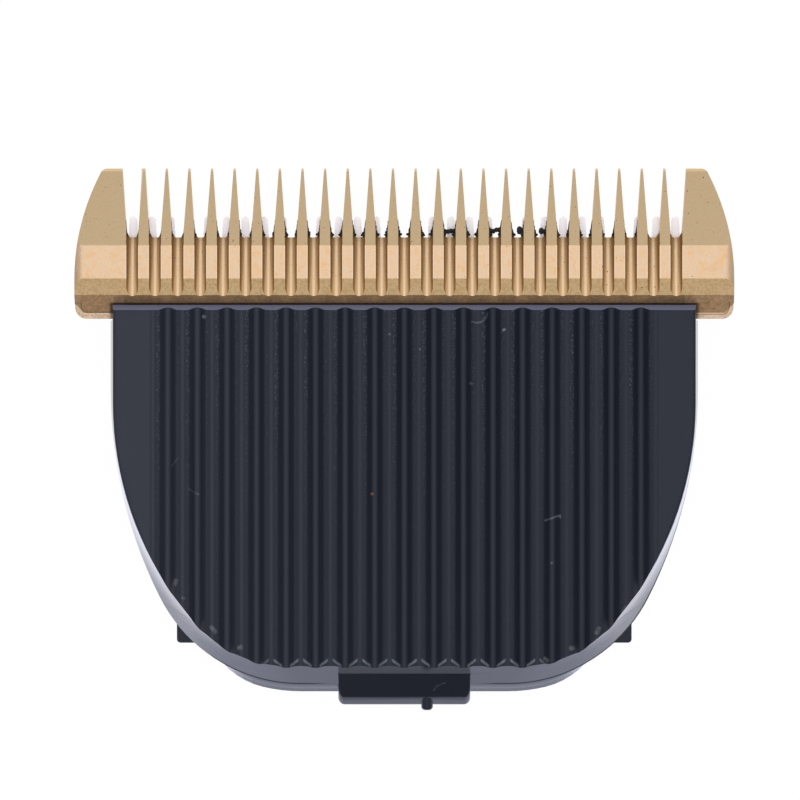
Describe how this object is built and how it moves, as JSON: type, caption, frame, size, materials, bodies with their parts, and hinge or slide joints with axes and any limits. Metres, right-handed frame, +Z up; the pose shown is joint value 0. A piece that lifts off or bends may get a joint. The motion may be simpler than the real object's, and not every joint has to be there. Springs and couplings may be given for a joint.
{
  "type": "hair clipper blade",
  "caption": "Clip-on hair clipper blade: a gold toothed comb over a sliding white ceramic cutter, in a black holder with a ribbed thumb plate.",
  "frame": {"origin": "middle of the blade's width and length, on the surface that the rear face rests on", "axes": "+X across the blade along the row of teeth, +Y towards the tooth tips, +Z up out of the ribbed plate"},
  "size_m": [0.046, 0.038, 0.01],
  "materials": {
    "gold_coated_steel": "ground, with a matt gold coating",
    "white_ceramic": "fired white, ground faces",
    "black_slider_plastic": "satin slippery plastic",
    "black_holder_plastic": "fine matt moulded texture",
    "spring_steel": "drawn wire",
    "screw_steel": "zinc plated"
  },
  "bodies": {
    "holder": {"ribbed_cover": "black_holder_plastic", "rear_frame": "black_holder_plastic", "comb_blade": "gold_coated_steel", "tension_spring": "spring_steel", "frame_screws": "screw_steel"},
    "cutter": {"ceramic_cutter": "white_ceramic", "cutter_carrier": "black_slider_plastic"}
  },
  "joints": [
    {"name": "cutter_slide", "type": "slide", "parent": "holder", "child": "cutter", "axis": [1, 0, 0], "range_m": [-0.0012, 0.0012]}
  ]
}
